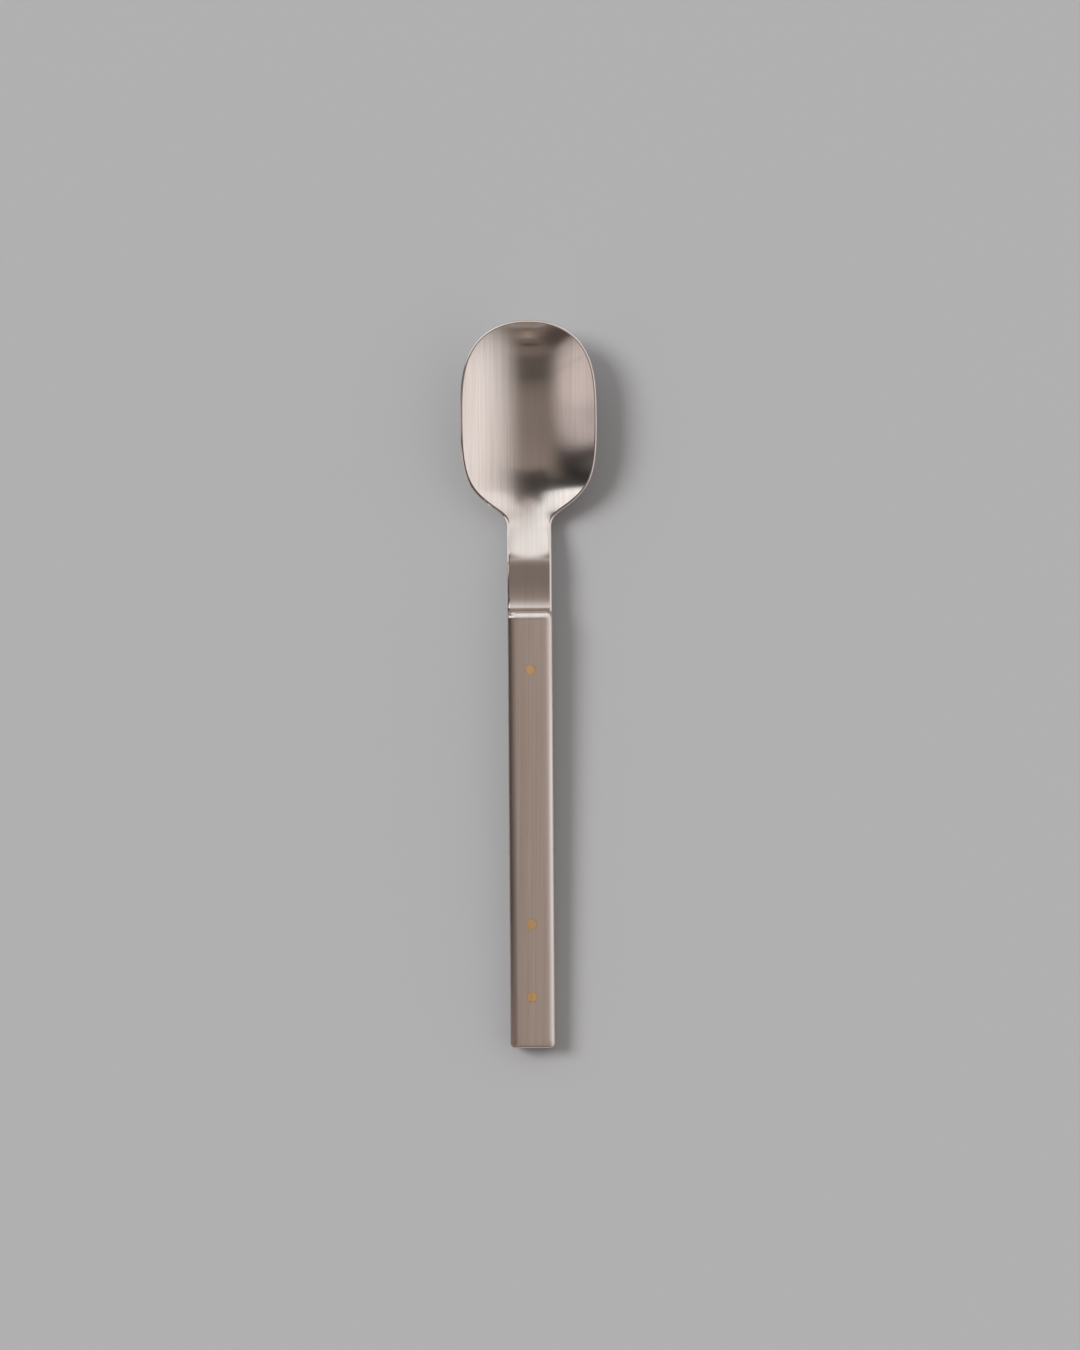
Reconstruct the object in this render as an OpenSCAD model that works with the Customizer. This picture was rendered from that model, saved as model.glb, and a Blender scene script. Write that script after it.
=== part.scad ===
// Sugar spoon: bowl, neck and tang in one pressed piece, with a steel scale pinned to each face of the tang.
// Millimetres. X runs across the spoon, Y along it with the bowl at +Y, and Z up from the table.

/* [Spoon] */
// Length from the tip of the bowl to the end of the handle
spoon_l = 146; // [136:0.5:160]

/* [Bowl] */
// Outside width of the bowl at its widest place
bowl_w = 27.4; // [25:0.1:31]
// Distance from the tip to the widest place
widest_s = 20.4; // [19:0.1:22]
// Inside depth from the rim to the floor
bowl_depth = 6; // [5:0.1:7]
// How far the floor lies below the upper face of the tang
bowl_drop = 4.5; // [3.5:0.1:5.5]
// How far the line of the rim has fallen by the throat
rim_fall = 4.1; // [3.5:0.1:4.8]
// Thickness of the metal at the floor
bowl_wall = 1.2; // [1:0.05:1.5]
// Flat width on top of the rim
rim_land = 0.15; // [0.1:0.05:0.4]
// Rounding of the outer edge of the rim
rim_round = 0.35; // [0.25:0.05:0.45]

/* [Neck] */
// Distance from the tip to the throat, where the sides of the neck become parallel
throat_s = 41.2; // [40:0.1:43]
// Length of the hollow curve that leads from the flank into the neck
throat_l = 3.5; // [3:0.1:4]
// How far the flank stands out from the neck where that curve begins
throat_flare = 2.5; // [2:0.1:3]
// Depth of the hollow that is left at the throat
throat_hollow = 0.65; // [0.5:0.05:0.8]
// Angle of the flank to the length of the spoon
flank_angle = 54; // [48:1:60]
// Length of the neck from the throat to the shoulder
neck_l = 17; // [15:0.5:20]
// Rounding of the long edges of the neck
neck_round = 0.6; // [0.4:0.05:0.65]
// Level stretch of the neck in front of the foot
neck_level = 4.3; // [3:0.1:5]
// Length of the foot that rises to the shoulder
foot_l = 5.8; // [5:0.1:6.5]
// Height of the shoulder above the face of the tang
foot_h = 0.55; // [0.3:0.05:0.75]
// Flat land on top of the shoulder, in front of the scale
shoulder_land = 0.5; // [0.3:0.05:0.8]

/* [Handle] */
// Width of the neck and the handle
handle_w = 9; // [8:0.1:10.5]
// Thickness of the tang between the scales
tang_t = 1.6; // [1.4:0.05:2]
// Thickness of each scale
scale_t = 1.5; // [1.3:0.05:2]
// Width of the soft rounding along the outer edges of a scale
edge_round_w = 1.8; // [1.2:0.1:2]
// Height of that rounding
edge_round_h = 1; // [0.7:0.05:1.2]
// Rounding of the front corners of a scale, seen from above
front_corner_r = 1.6; // [0.8:0.1:2]
// Rounding of the tail corners, seen from above
tail_corner_r = 1; // [0.6:0.1:1.6]

/* [Pins] */
// Diameter of the shank of a pin
pin_shank_d = 1.6; // [1.4:0.05:2]
// Diameter of the flared head, which shows on the scale
pin_head_d = 2; // [1.9:0.05:2.6]
// Depth of the flare
pin_head_h = 0.4; // [0.3:0.05:0.6]
// Distance of the neck pin from the front end of the scales
neck_pin_inset = 11.7; // [8:0.1:16]
// Distance of the tail pin from the end of the handle
tail_pin_inset = 10.4; // [7:0.1:14]
// Distance between the two pins at the tail
pin_pair_gap = 14.6; // [10:0.1:18]

/* [Fits] */
// Space around a pin in its hole
pin_clearance = 0.02; // [0.01:0.01:0.05]
// How far the ends of a pin are ground below the scale
pin_shy = 0.02; // [0.01:0.01:0.05]
// Space between the shoulder and the front end of a scale
seat_gap = 0.05; // [0.02:0.01:0.1]
// How far the edges of the tang lie inside the edges of the scales
tang_inset = 0.05; // [0.03:0.01:0.1]

/* [Hidden] */

// How far a cutter runs past the face it cuts
overrun = 1;
// Segments of a full circle
$fn = 48;
// Steps along the tip half, the flank, the throat, the neck and a tail corner, and across the spoon
tip_steps = 14;
flank_steps = 14;
throat_steps = 6;
neck_steps = 12;
corner_steps = 4;
across_steps = 14;
// Steps round each rounded edge
edge_steps = 3;

// Shape of the tip half seen from above: powers of a superellipse across and along
tip_power_across = 2.2;
tip_power_along = 3.3;
// Shape of the hollow across the bowl: power of its height from the floor
hollow_power = 2;
// How level the floor stays on its way to the tip: power of its rise to the rim
floor_power = 4;
// How late the floor rises to the neck: power of its rise
rise_power = 2.5;
// Height over which that rise bends into the level neck
bend_h = 0.6;
// How late the throat's hollow runs out before the level neck
hollow_keep_power = 1.4;
// How late the foot rises to the shoulder
foot_power = 3;
// Curve handles of the flank and the throat, as shares of their lengths
side_handle_share = 0.64;
flank_handle_share = 0.38;
throat_in_share = 0.57;
throat_out_share = 0.46;
// Angle at which the rim's outer edge meets the underside of the bowl
rim_under_angle = 40;
// Straight height of the rim between its two rounded edges, as a share of the rounding
rim_side_share = 0.3;
// Rounding of the edges of the tang, as a share of its thickness
tang_edge_share = 0.03;
// Most that the rounding of a scale takes of its thickness and of half its width
edge_h_share = 0.8;
edge_w_share = 0.45;

bowl_half = bowl_w / 2;
handle_half = handle_w / 2;
tang_half = handle_half - tang_inset;
tang_top = tang_t / 2;
tang_edge = tang_t * tang_edge_share;
neck_top_half = handle_half - neck_round - tang_edge;
floor_z = tang_top - bowl_drop;
rim_z = floor_z + bowl_depth;
flank_s = throat_s - throat_l;
flank_half = handle_half + throat_flare;
flank_l = flank_s - widest_s;
shoulder_s = throat_s + neck_l;
land_s = shoulder_s - shoulder_land;
foot_s = land_s - foot_l;
crest_s = foot_s - neck_level;
scale_l = spoon_l - shoulder_s - seat_gap;
edge_w = min(edge_round_w, handle_half * edge_w_share);
edge_h = min(edge_round_h, scale_t * edge_h_share);
handle_top = tang_top + scale_t;
rim_under_z = rim_round * (1 + rim_side_share + sin(rim_under_angle));
rim_under_q = rim_round * (1 - cos(rim_under_angle));
rim_in = rim_land + rim_round;

tail_y = -spoon_l / 2;
scale_front_y = tail_y + scale_l;
neck_pin_y = scale_front_y - neck_pin_inset;
tail_pin_y = tail_y + tail_pin_inset;
middle_pin_y = tail_pin_y + pin_pair_gap;

function mix(a, b, k) = a + (b - a) * k;
function soft_min(a, b, h) = min(a, b) - pow(max(0, h - abs(a - b)), 2) / (4 * h);
function smooth(x) = let (k = min(1, max(0, x))) k * k * (3 - 2 * k);
function bezier(a, b, c, d, t) =
    a * pow(1 - t, 3) + b * 3 * t * pow(1 - t, 2) + c * 3 * t * t * (1 - t) + d * pow(t, 3);
function bezier_way(a, b, c, d, t) =
    (b - a) * pow(1 - t, 2) + (c - b) * 2 * t * (1 - t) + (d - c) * t * t;
function along(v) = v / norm(v);

// A station of the outline: [distance from the tip, half width], and the way the outline runs there
function tip_station(turn) = [
    [widest_s * (1 - pow(cos(turn), 2 / tip_power_along)), bowl_half * pow(sin(turn), 2 / tip_power_across)],
    along([
        widest_s / tip_power_along * pow(sin(turn), 2 - 2 / tip_power_across),
        bowl_half / tip_power_across * pow(cos(turn), 2 - 2 / tip_power_along)
    ])
];
function curve_station(a, b, c, d, t) = [bezier(a, b, c, d, t), along(bezier_way(a, b, c, d, t))];

flank_way = [cos(flank_angle), -sin(flank_angle)];
widest_p = [widest_s, bowl_half];
flank_p = [flank_s, flank_half];
throat_p = [throat_s, handle_half];

stations = concat(
    [for (i = [1:tip_steps]) tip_station(90 * i / tip_steps)],
    [for (i = [1:flank_steps]) curve_station(
        widest_p,
        widest_p + [flank_l * side_handle_share, 0],
        flank_p - flank_way * flank_l * flank_handle_share,
        flank_p,
        i / flank_steps
    )],
    [for (i = [1:throat_steps]) curve_station(
        flank_p,
        flank_p + flank_way * throat_l * throat_in_share,
        throat_p - [throat_l * throat_out_share, 0],
        throat_p,
        i / throat_steps
    )],
    [for (i = [1:neck_steps]) [[mix(throat_s, land_s, i / neck_steps), handle_half], [1, 0]]],
    [[[shoulder_s, handle_half], [1, 0]]]
);
// A place the given distance inside the outline
function inset(st, q) = [st[0][0] + q * st[1][1], st[0][1] - q * st[1][0]];

// Upper surface along the middle of the spoon, from the widest place to the shoulder
function foot(s) = pow(min(1, max(0, (s - foot_s) / foot_l)), foot_power);
function rise_z(s) = floor_z + bowl_drop * pow(max(0, (s - widest_s) / (crest_s - widest_s)), rise_power);
function middle_z(s) = soft_min(rise_z(s), tang_top, bend_h) + foot_h * foot(s);
// Thickness of the metal there
function metal_t(s) =
    mix(bowl_wall, tang_t, smooth((s - widest_s) / (crest_s - widest_s))) + 2 * foot_h * foot(s);
// Share by which the rim has turned into the edge of the neck
function neck_share(s) = smooth((s - flank_s + throat_l) / (2 * throat_l));
// Share of the throat's hollow that is left
function hollow_share(s) =
    1 - pow(min(1, max(0, (s - throat_s) / (crest_s - throat_s))), hollow_keep_power);
// Height of the edge above that surface: on the rim of the bowl, and on the hollow through the throat
function rim_h(s) = rim_z - rim_fall * pow((s - widest_s) / (throat_s - widest_s), 2) - middle_z(s);
function hollow_h(p) = throat_hollow * hollow_share(p[0]) * pow(p[1] / neck_top_half, hollow_power);

outer_depth = bowl_depth - rim_under_z + bowl_wall;
// Share of the depth that the floor has reached between the tip, with its given inset, and the widest place
function floor_share(s, q) = 1 - pow((widest_s - s) / (widest_s - q), floor_power);

// One closed loop round the metal: across the top, down the right edge, back underneath, up the left edge
function loop(p_top, p_under, z_mid, z_edge, z_under_mid, z_under_edge, right) = let (
    shares = [for (i = [0:across_steps]) 2 * i / across_steps - 1],
    count = len(right) - 1
) concat(
    [for (u = shares) [u * p_top[1], p_top[0], mix(z_mid, z_edge, pow(abs(u), hollow_power))]],
    right,
    [for (u = shares)
        [-u * p_under[1], p_under[0], mix(z_under_mid, z_under_edge, pow(abs(u), hollow_power))]],
    [for (i = [count:-1:0]) [-right[i][0], right[i][1], right[i][2]]]
);
// The rounded edge on the right, from the top to the underside
function edge(st, z_edge, side_h, r_top, r_under, end_angle) = concat(
    [for (i = [0:edge_steps]) let (a = 90 - 90 * i / edge_steps, p = inset(st, r_top * (1 - cos(a))))
        [p[1], p[0], z_edge - r_top * (1 - sin(a))]],
    [for (i = [0:edge_steps - 1]) let (a = end_angle * i / edge_steps, p = inset(st, r_under * (1 - cos(a))))
        [p[1], p[0], z_edge - side_h + r_under * (1 - sin(a))]]
);
function blank_loop(st) = let (
    s_out = st[0][0],
    k = neck_share(s_out),
    r = mix(rim_round, neck_round, k),
    end_angle = mix(rim_under_angle, 90, k),
    p_top = inset(st, mix(rim_in, neck_round + tang_edge, k)),
    p_under = inset(st, r * (1 - cos(end_angle))),
    tip = s_out <= widest_s,
    z_mid = tip ? rim_z - bowl_depth * floor_share(p_top[0], rim_in) : middle_z(p_top[0]),
    z_edge = tip ? rim_z : z_mid + mix(rim_h(p_top[0]), hollow_h(p_top), k),
    side_h = mix(rim_side_h, metal_t(s_out), k),
    z_under_edge = z_edge - side_h + r * (1 - sin(end_angle)),
    outer_hollow = outer_depth * floor_share(p_under[0], rim_under_q),
    z_under_mid = tip ? z_under_edge - outer_hollow : middle_z(p_under[0]) - metal_t(p_under[0])
) loop(p_top, p_under, z_mid, z_edge, z_under_mid, z_under_edge, edge(st, z_edge, side_h, r, r, end_angle));

function tang_loop(s, half) = let (st = [[s, half], [1, 0]]) loop(
    inset(st, 2 * tang_edge),
    inset(st, tang_edge),
    tang_top,
    tang_top,
    -tang_top,
    -tang_top,
    edge(st, tang_top, tang_t, tang_edge, tang_edge, 90)
);

rim_side_h = rim_round * (2 + rim_side_share);
tip_edge = edge([[0, 0], [0, 1]], rim_z, rim_side_h, rim_round, rim_round, rim_under_angle);
tip_points = concat([[0, rim_in, rim_z]], tip_edge, [[0, rim_under_q, rim_z - rim_under_z]]);
loops = concat(
    [for (st = stations) blank_loop(st)],
    [tang_loop(shoulder_s, tang_half)],
    [for (i = [0:corner_steps]) let (a = 90 * i / corner_steps) tang_loop(
        spoon_l - tail_corner_r * (1 - sin(a)),
        tang_half - tail_corner_r * (1 - cos(a))
    )]
);
function flat(lists) = [for (list = lists) for (p = list) p];
// From distance behind the tip to place along Y
blank_points = [for (p = concat(tip_points, flat(loops))) [p[0], spoon_l / 2 - p[1], p[2]]];

tip_count = len(tip_points);
loop_count = len(loops[0]);
edge_count = tip_count - 2;
under_start = across_steps + 1 + edge_count;
function corner(i, j) = tip_count + i * loop_count + j % loop_count;
// The point at the tip that a place on the first loop leads to
function tip_corner(j) =
    j <= across_steps ? 0 :
    j < under_start ? j - across_steps :
    j <= under_start + across_steps ? tip_count - 1 :
    (loop_count - j) % loop_count;
// Places on the last loop, and those straight below the ones on top
function end_corner(j) = corner(len(loops) - 1, j);
function end_under(j) = end_corner(under_start + across_steps - j);
blank_faces = concat(
    [for (j = [0:loop_count - 1]) let (a = tip_corner(j), b = tip_corner((j + 1) % loop_count))
        if (a != b) [a, b, corner(0, j + 1)]],
    [for (j = [0:loop_count - 1]) [tip_corner(j), corner(0, j + 1), corner(0, j)]],
    [for (i = [0:len(loops) - 2]) for (j = [0:loop_count - 1])
        [corner(i, j), corner(i, j + 1), corner(i + 1, j + 1)]],
    [for (i = [0:len(loops) - 2]) for (j = [0:loop_count - 1])
        [corner(i, j), corner(i + 1, j + 1), corner(i + 1, j)]],
    [for (j = [0:across_steps - 1]) [end_corner(j), end_corner(j + 1), end_under(j + 1), end_under(j)]],
    [[for (j = [across_steps:under_start]) end_corner(j)]],
    [concat([end_corner(0)], [for (j = [under_start + across_steps:loop_count - 1]) end_corner(j)])]
);

// The spoon rests on its bowl and on the rounded tail of the back scale. Each turn of the search finds
// the lowest place of that rounding at the tilt so far, and the tilt that brings the bowl level with it.
tail_round = [tail_y + edge_w, -handle_top + edge_h];
function reach(along_w, along_h) = norm([edge_w * along_w, edge_h * along_h]);
function tail_low(a) =
    tail_round - [pow(edge_w, 2) * sin(a), pow(edge_h, 2) * cos(a)] / reach(sin(a), cos(a));
function level_tilt(q) = max([
    for (p = blank_points) if (p[1] > scale_front_y) atan2(q[1] - p[2], p[1] - q[0])
]);
function find_tilt(a, turns) = turns == 0 ? a : find_tilt(level_tilt(tail_low(a)), turns - 1);
rest_tilt = find_tilt(0, 4);
lift =
    reach(sin(rest_tilt), cos(rest_tilt))
    - tail_round[0] * sin(rest_tilt)
    - tail_round[1] * cos(rest_tilt);
tip_end = max([for (p = blank_points) p[1] * cos(rest_tilt) - p[2] * sin(rest_tilt)]);
tail_end =
    tail_round[0] * cos(rest_tilt)
    + tail_round[1] * sin(rest_tilt)
    - reach(cos(rest_tilt), sin(rest_tilt));
shift = -(tip_end + tail_end) / 2;

module at_rest() {
    translate([0, shift, lift]) rotate([rest_tilt, 0, 0]) children();
}

// A section with corners rounded over the width and height of the soft edge
module soft_rect(w, h) {
    square([w - 2 * edge_w, h], center = true);
    square([w, h - 2 * edge_h], center = true);
    for (x = [-1, 1], y = [-1, 1])
        translate([x * (w / 2 - edge_w), y * (h / 2 - edge_h)]) scale([edge_w, edge_h]) circle(1);
}

module scale_plan() {
    translate([-handle_half, tail_y + tail_corner_r])
        square([handle_w, scale_l - tail_corner_r - front_corner_r]);
    translate([-handle_half + front_corner_r, tail_y + tail_corner_r])
        square([handle_w - 2 * front_corner_r, scale_l - tail_corner_r]);
    translate([-handle_half + tail_corner_r, tail_y])
        square([handle_w - 2 * tail_corner_r, scale_l - tail_corner_r]);
    for (x = [-1, 1]) {
        translate([x * (handle_half - front_corner_r), scale_front_y - front_corner_r])
            circle(front_corner_r);
        translate([x * (handle_half - tail_corner_r), tail_y + tail_corner_r])
            circle(tail_corner_r);
    }
}

// A scale that lies on the plane z = 0
module scale_slab() {
    intersection() {
        linear_extrude(scale_t + overrun) scale_plan();
        translate([0, scale_front_y + overrun, 0]) rotate([90, 0, 0])
            linear_extrude(scale_l + 2 * overrun) soft_rect(handle_w, 2 * scale_t);
        translate([-handle_half - overrun, tail_y + scale_l / 2, 0]) rotate([90, 0, 90])
            linear_extrude(handle_w + 2 * overrun) soft_rect(scale_l, 2 * scale_t);
    }
}

module at_pins() {
    for (y = [neck_pin_y, middle_pin_y, tail_pin_y])
        translate([0, y, 0]) children();
}

module pin_bore(h) {
    translate([0, 0, -overrun]) cylinder(d = pin_shank_d + 2 * pin_clearance, h = h + 2 * overrun);
}

// Flare of a pin's head, widened by the given space and carried on past the face
module flare(space, past) {
    gain = (pin_head_d - pin_shank_d) / pin_head_h;
    translate([0, 0, -pin_head_h]) cylinder(
        d1 = pin_shank_d + 2 * space,
        d2 = pin_shank_d + 2 * space + gain * (pin_head_h + past),
        h = pin_head_h + past
    );
}

module scale_pinned() {
    difference() {
        scale_slab();
        at_pins() {
            pin_bore(scale_t);
            translate([0, 0, scale_t]) flare(pin_clearance, overrun);
        }
    }
}

module pin(y) {
    color("goldenrod") at_rest() translate([0, y, 0]) {
        translate([0, 0, -handle_top + pin_shy]) cylinder(d = pin_shank_d, h = 2 * (handle_top - pin_shy));
        for (side = [0, 1]) mirror([0, 0, side]) translate([0, 0, handle_top]) flare(0, -pin_shy);
    }
}

module spoon_blank() {
    color("silver") at_rest() difference() {
        polyhedron(points = blank_points, faces = blank_faces, convexity = 6);
        at_pins() translate([0, 0, -tang_top]) pin_bore(tang_t);
    }
}

module scale_front() {
    color("lightgray") at_rest() translate([0, 0, tang_top]) scale_pinned();
}

module scale_back() {
    color("lightgray") at_rest() mirror([0, 0, 1]) translate([0, 0, tang_top]) scale_pinned();
}

module pin_neck() {
    pin(neck_pin_y);
}

module pin_middle() {
    pin(middle_pin_y);
}

module pin_tail() {
    pin(tail_pin_y);
}

spoon_blank();
scale_front();
scale_back();
pin_neck();
pin_middle();
pin_tail();
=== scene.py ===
"""Sugar spoon with a brushed steel bowl, steel handle scales and brass pins, built around the frame."""

import math

import bmesh
import bpy
from mathutils import Matrix, Vector


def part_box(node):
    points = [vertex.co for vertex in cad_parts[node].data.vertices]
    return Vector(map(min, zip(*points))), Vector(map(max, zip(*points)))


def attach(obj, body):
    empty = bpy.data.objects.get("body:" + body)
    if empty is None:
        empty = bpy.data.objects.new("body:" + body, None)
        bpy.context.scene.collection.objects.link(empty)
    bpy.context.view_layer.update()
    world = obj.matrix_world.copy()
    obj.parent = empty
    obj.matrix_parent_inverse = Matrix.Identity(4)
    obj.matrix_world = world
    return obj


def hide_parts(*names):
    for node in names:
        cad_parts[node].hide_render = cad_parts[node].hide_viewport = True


bl_info = {
    "name": "Sugar spoon",
    "version": (1, 0, 0),
    "blender": (4, 5, 0),
    "location": "3D View > Sidebar > Sugar spoon",
    "description": "Builds a sugar spoon of brushed steel with pinned handle scales, on a plain stage",
    "category": "Add Mesh",
}

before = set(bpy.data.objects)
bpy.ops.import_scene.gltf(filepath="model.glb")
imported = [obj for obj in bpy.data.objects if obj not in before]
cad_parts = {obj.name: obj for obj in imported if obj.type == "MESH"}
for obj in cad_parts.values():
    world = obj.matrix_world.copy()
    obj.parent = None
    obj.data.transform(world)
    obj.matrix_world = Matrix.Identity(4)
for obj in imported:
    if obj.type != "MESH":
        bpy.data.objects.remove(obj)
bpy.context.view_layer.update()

MM = 0.001
ACROSS = Vector((1, 0, 0))
LENGTHWISE = Vector((0, 1, 0))

# Steps along the bowl's tip half, flank, throat and neck, across the spoon, and round each edge and corner
TIP_STEPS = 56
FLANK_STEPS = 44
THROAT_STEPS = 18
NECK_STEPS = 56
ACROSS_STEPS = 56
EDGE_STEPS = 7
CORNER_STEPS = 9
PIN_SEGMENTS = 40

# Shape of the bowl: powers of its plan and of its hollow, how level the floor stays towards the tip,
# and how late the floor and the foot rise
TIP_POWER_ACROSS = 2.2
TIP_POWER_ALONG = 3.3
HOLLOW_POWER = 2
FLOOR_POWER = 4
RISE_POWER = 2.5
FOOT_POWER = 3
# Height over which the floor's rise bends into the level neck
BEND_H = 0.6 * MM
# How late the throat's hollow runs out before the level neck
HOLLOW_KEEP_POWER = 1.4
# Curve handles of the flank and the throat, as shares of their lengths
SIDE_HANDLE = 0.64
FLANK_HANDLE = 0.38
THROAT_IN = 0.57
THROAT_OUT = 0.46
# Rim: the angle where its outer edge meets the underside, and its straight side as a share of the rounding
RIM_UNDER_ANGLE = math.radians(40)
RIM_SIDE_SHARE = 0.3
TANG_EDGE_SHARE = 0.03
# Smallest corner that is left in plan where the soft edge of a scale reaches its flat face
INNER_CORNER = 0.5 * MM
# Broken edge round the face of a pin
PIN_BREAK = 0.05 * MM
# Ring inside that face, as a share of its radius, that keeps the shading of the face even
PIN_FACE_SHARE = 0.6
SHARP_ANGLE = math.radians(24)
# Distance within which two corners are joined
WELD = 0.0001 * MM
BRUSH_MAP = "brush"
# A face that looks nearly along the spoon has no clear way across, and takes that of the whole spoon
LEAST_ACROSS = 0.05
# Turn of the brush lines on the scales and pins, whose sides stand upright
EDGE_LEAN = math.radians(35)
# Broad patches of a brushed surface, their share beside the lines, and how far both change its roughness
PATCH_W = 3 * MM
PATCH_L = 45 * MM
PATCH_SHARE = 0.35
ROUGHNESS_DRIFT = 0.12
# Parts of the pattern's range over which the colour and the roughness change
COLOUR_RANGE = (0.36, 0.64)
ROUGHNESS_RANGE = (0.3, 0.7)


def linear(hex_colour):
    """Linear colour of an sRGB hex value."""
    parts = [int(hex_colour[i:i + 2], 16) / 255 for i in (1, 3, 5)]
    return tuple(c / 12.92 if c <= 0.04045 else ((c + 0.055) / 1.055) ** 2.4 for c in parts)


def length(label, millimetres, text):
    """A length for a user to change, kept in metres."""
    return bpy.props.FloatProperty(
        name=label,
        description=text,
        default=millimetres * MM,
        min=0.0,
        precision=5,
        subtype="DISTANCE",
        unit="LENGTH",
    )


def colour(label, hex_colour, text):
    """A colour for a user to change, kept linear."""
    return bpy.props.FloatVectorProperty(
        name=label,
        description=text,
        default=linear(hex_colour),
        size=3,
        min=0.0,
        max=1.0,
        subtype="COLOR",
    )


class SpoonSizes(bpy.types.PropertyGroup):
    """Sizes of the spoon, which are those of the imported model."""

    spoon_l: length("Length", 146, "From the tip of the bowl to the end of the handle")
    bowl_w: length("Bowl width", 27.4, "Outside width of the bowl at its widest place")
    widest_s: length("Widest place", 20.4, "Distance from the tip to the widest place")
    bowl_depth: length("Bowl depth", 6, "Inside depth from the rim to the floor")
    bowl_drop: length("Bowl drop", 4.5, "How far the floor lies below the upper face of the tang")
    rim_fall: length("Rim fall", 4.1, "How far the line of the rim has fallen by the throat")
    bowl_wall: length("Bowl wall", 1.2, "Thickness of the metal at the floor")
    rim_land: length("Rim land", 0.15, "Flat width on top of the rim")
    rim_round: length("Rim rounding", 0.35, "Rounding of the outer edge of the rim")
    throat_s: length("Throat", 41.2, "Distance from the tip to where the sides of the neck become parallel")
    throat_l: length("Throat curve", 3.5, "Length of the curve that leads from the flank into the neck")
    throat_flare: length("Throat flare", 2.5, "How far the flank stands out where that curve begins")
    throat_hollow: length("Throat hollow", 0.65, "Depth of the hollow that is left at the throat")
    flank_angle: bpy.props.FloatProperty(
        name="Flank angle",
        description="Angle of the flank to the length of the spoon",
        default=math.radians(54),
        subtype="ANGLE",
        unit="ROTATION",
    )
    neck_l: length("Neck length", 17, "From the throat to the shoulder")
    neck_round: length("Neck rounding", 0.6, "Rounding of the long edges of the neck")
    neck_level: length("Neck level", 4.3, "Level stretch of the neck in front of the foot")
    foot_l: length("Foot length", 5.8, "Length of the foot that rises to the shoulder")
    foot_h: length("Foot height", 0.55, "Height of the shoulder above the face of the tang")
    shoulder_land: length("Shoulder land", 0.5, "Flat land on top of the shoulder")
    handle_w: length("Handle width", 9, "Width of the neck and the handle")
    tang_t: length("Tang thickness", 1.6, "Thickness of the tang between the scales")
    scale_t: length("Scale thickness", 1.5, "Thickness of each scale")
    edge_round_w: length("Soft edge width", 1.8, "Width of the soft rounding along the edges of a scale")
    edge_round_h: length("Soft edge height", 1, "Height of that rounding")
    front_corner_r: length("Front corners", 1.6, "Rounding of the front corners, seen from above")
    tail_corner_r: length("Tail corners", 1, "Rounding of the tail corners, seen from above")
    seat_gap: length("Seat gap", 0.05, "Space between the shoulder and a scale")
    tang_inset: length("Tang inset", 0.05, "How far the tang lies inside the edges of the scales")
    pin_shank_d: length("Pin shank", 1.6, "Diameter of the shank of a pin")
    pin_head_d: length("Pin head", 2, "Diameter of the flared head")
    pin_head_h: length("Pin flare", 0.4, "Depth of the flare")
    pin_clearance: length("Pin clearance", 0.02, "Space around a pin in its hole")
    pin_shy: length("Pin shyness", 0.02, "How far the ends of a pin lie below the scale")
    neck_pin_inset: length("Neck pin", 11.7, "Distance of the neck pin from the front end of the scales")
    tail_pin_inset: length("Tail pin", 10.4, "Distance of the tail pin from the end of the handle")
    pin_pair_gap: length("Pin pair", 14.6, "Distance between the two pins at the tail")


class SpoonFinish(bpy.types.PropertyGroup):
    """Colours of the metals."""

    blank_pale: colour(
        "Bowl steel", "#EAE4DF", "Stainless steel of the bowl and neck, on the crests of its brush lines"
    )
    blank_deep: colour("Bowl steel, deep", "#E0D8D2", "The same steel in the brush lines")
    scale_pale: colour(
        "Scale steel", "#E9E3DE", "Stainless steel of the scales, on the crests of its brush lines"
    )
    scale_deep: colour("Scale steel, deep", "#DDD4CE", "The same steel in the brush lines")
    brass_pale: colour("Pin brass", "#FFE0B0", "Brass of the pins, freshly ground")
    brass_deep: colour("Pin brass, deep", "#F6CC92", "Brass of the pins, dulled")


class SpoonStage(bpy.types.PropertyGroup):
    """The plain stage that the spoon lies on."""

    floor_colour: colour("Floor", "#AEB0B2", "Plain pale floor")
    key_colour: colour("Window", "#FFFDFB", "Light that casts the shadow")
    key_strength: bpy.props.FloatProperty(
        name="Window strength",
        description="Strength of the light that casts the shadow",
        default=2.4,
        min=0.0,
    )
    room_strength: bpy.props.FloatProperty(
        name="Room strength",
        description="Strength of the light that the room gives from all sides",
        default=1.25,
        min=0.0,
    )
    camera_height: length("Camera height", 800, "Height of the camera above the spoon")
    view_height: length("View height", 270.8, "Height of what the camera sees at the spoon")


def add_node(tree, kind, values=None, links=None):
    """Add a node, set its options, sockets and colour stops, and link its sockets from other nodes."""
    node = tree.nodes.new(kind)
    for name, value in (values or {}).items():
        if name == "stops":
            stops = node.color_ramp.elements
            while len(stops) < len(value):
                stops.new(1.0)
            for stop, (place, shade) in zip(stops, value):
                stop.position = place
                stop.color = (*shade, 1.0)
        elif isinstance(name, str) and hasattr(node, name):
            setattr(node, name, value)
        else:
            node.inputs[name].default_value = value
    for socket, source in (links or {}).items():
        tree.links.new(source, node.inputs[socket])
    return node


def tones(stops):
    """Colour stops in linear colours, from sRGB hex values."""
    return [(place, linear(hex_colour)) for place, hex_colour in stops]


def shares(stops):
    """Colour stops in greys, from shares between 0 and 1."""
    return [(place, (share, share, share)) for place, share in stops]


def mix(a, b, share):
    """The value that lies a share of the way from a to b."""
    return a + (b - a) * share


def soft_min(a, b, height):
    """The smaller of two heights, with a bend of the given height where they cross."""
    return min(a, b) - max(0.0, height - abs(a - b)) ** 2 / (4 * height)


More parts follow.
